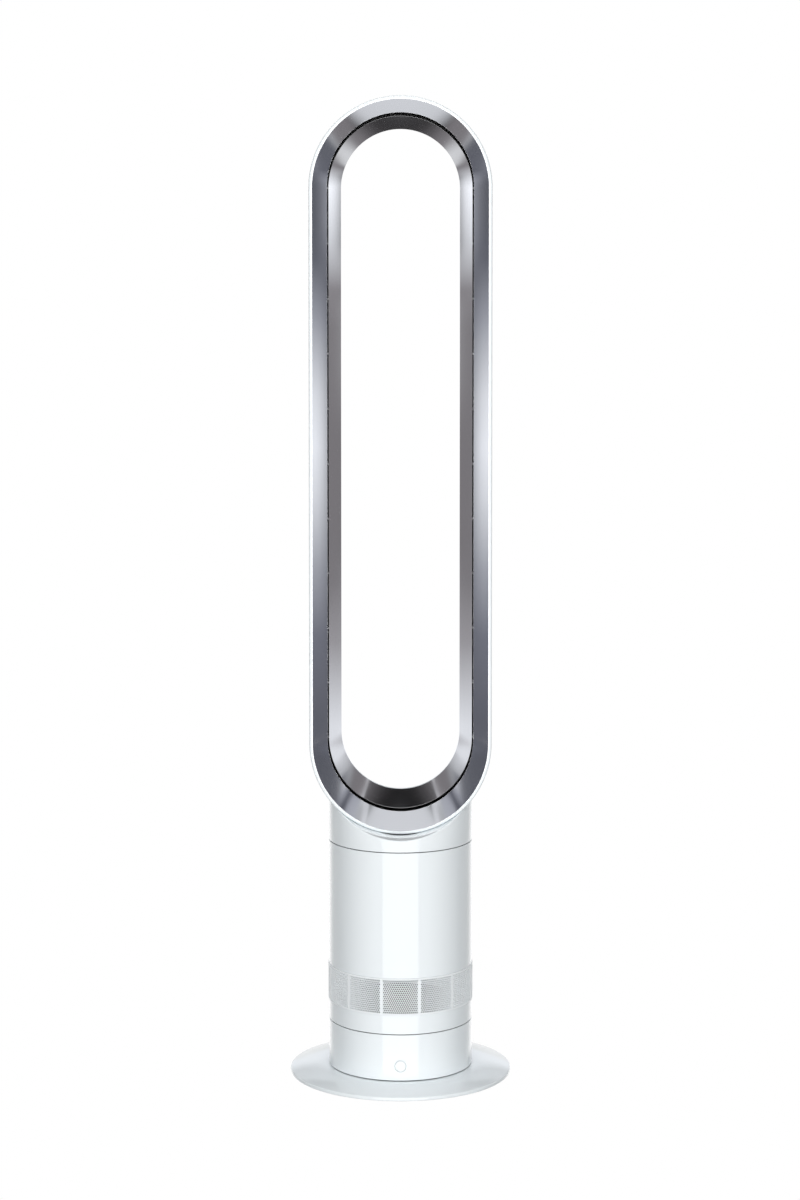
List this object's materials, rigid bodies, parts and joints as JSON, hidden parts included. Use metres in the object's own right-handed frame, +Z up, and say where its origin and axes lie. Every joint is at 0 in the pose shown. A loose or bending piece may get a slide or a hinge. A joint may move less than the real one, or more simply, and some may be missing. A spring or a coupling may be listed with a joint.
{
  "type": "bladeless fan",
  "caption": "Free-standing bladeless tower fan: a tall stadium-shaped air loop with a slit, on a round body with a perforated inlet that swings over a flat round base.",
  "frame": {"origin": "centre of the underside, on the floor under the body's axis", "axes": "+Z up along the body's axis, -Y to the front where the air blows, +X to the right as seen from the front"},
  "size_m": [0.228, 0.228, 1.0069],
  "materials": {
    "gloss_white": "high-gloss white moulded plastic",
    "satin_silver": "smooth satin silver coating",
    "grille_white": "white painted perforated sheet",
    "pale_plastic": "satin pale grey plastic",
    "grey_plastic": "satin grey moulded plastic",
    "black_plastic": "matt black plastic",
    "rubber": "soft dark rubber",
    "soft_grey": "soft pale grey rubber",
    "steel": "bright machined steel",
    "zinc_steel": "zinc plated steel",
    "laminated_steel": "stacked laminations",
    "copper": "enamelled copper winding",
    "circuit_board": "green solder mask",
    "acetal": "natural acetal",
    "foam": "open-cell dark foam"
  },
  "bodies": {
    "base": {"foot_pads": "rubber", "bottom_plate": "pale_plastic", "bottom_screws": "zinc_steel", "ballast_plate": "steel", "base_disc": "gloss_white", "lower_shell": "gloss_white", "cord_inlet": "soft_grey", "base_chassis": "grey_plastic", "chassis_screws": "zinc_steel", "control_board": "circuit_board", "tact_switch": "black_plastic", "display_module": "black_plastic", "remote_receiver": "black_plastic", "oscillation_motor": "zinc_steel", "motor_screws": "zinc_steel", "lower_race": "steel", "bearing_balls": "steel", "ball_cage": "acetal", "retaining_ring": "steel"},
    "button": {"power_button": "gloss_white"},
    "pinion": {"drive_pinion": "acetal"},
    "head": {"swivel_plate": "grey_plastic", "ring_gear": "acetal", "upper_race": "steel", "swivel_screws": "zinc_steel", "main_shell": "gloss_white", "inlet_grille": "grille_white", "lower_silencer": "foam", "isolation_ring": "rubber", "impeller_housing": "grey_plastic", "diffuser_housing": "grey_plastic", "housing_screws": "zinc_steel", "bearing_plate": "grey_plastic", "motor_cover": "grey_plastic", "motor_stator": "laminated_steel", "stator_windings": "copper", "driver_board": "circuit_board", "shaft_bearings": "steel", "upper_silencer": "foam", "neck_seal": "rubber", "neck_duct": "grey_plastic", "neck_collar": "gloss_white", "loop_gasket": "rubber", "loop_shell": "gloss_white", "front_band": "satin_silver", "rear_band": "satin_silver", "slit_spacers": "pale_plastic", "loop_screws": "zinc_steel"},
    "impeller": {"impeller": "grey_plastic", "motor_rotor": "steel", "impeller_nut": "zinc_steel"}
  },
  "joints": [
    {"name": "oscillation", "type": "hinge", "parent": "base", "child": "head", "pos_m": [0, 0, 0.0574], "axis": [0, 0, 1], "range_deg": [-35, 35]},
    {"name": "pinion_spin", "type": "hinge", "parent": "base", "child": "pinion", "pos_m": [0, 0.03, 0.045], "axis": [0, 0, 1], "range_deg": [-176, 176]},
    {"name": "impeller_spin", "type": "hinge", "parent": "head", "child": "impeller", "pos_m": [0, 0, 0.14], "axis": [0, 0, 1], "continuous": true},
    {"name": "button_press", "type": "slide", "parent": "base", "child": "button", "axis": [0, 1, 0], "range_m": [0, 0.0012], "stiffness_N_per_m": 800}
  ],
  "couplings": [
    {"joint": "pinion_spin", "follows": "oscillation", "ratio": 5}
  ]
}
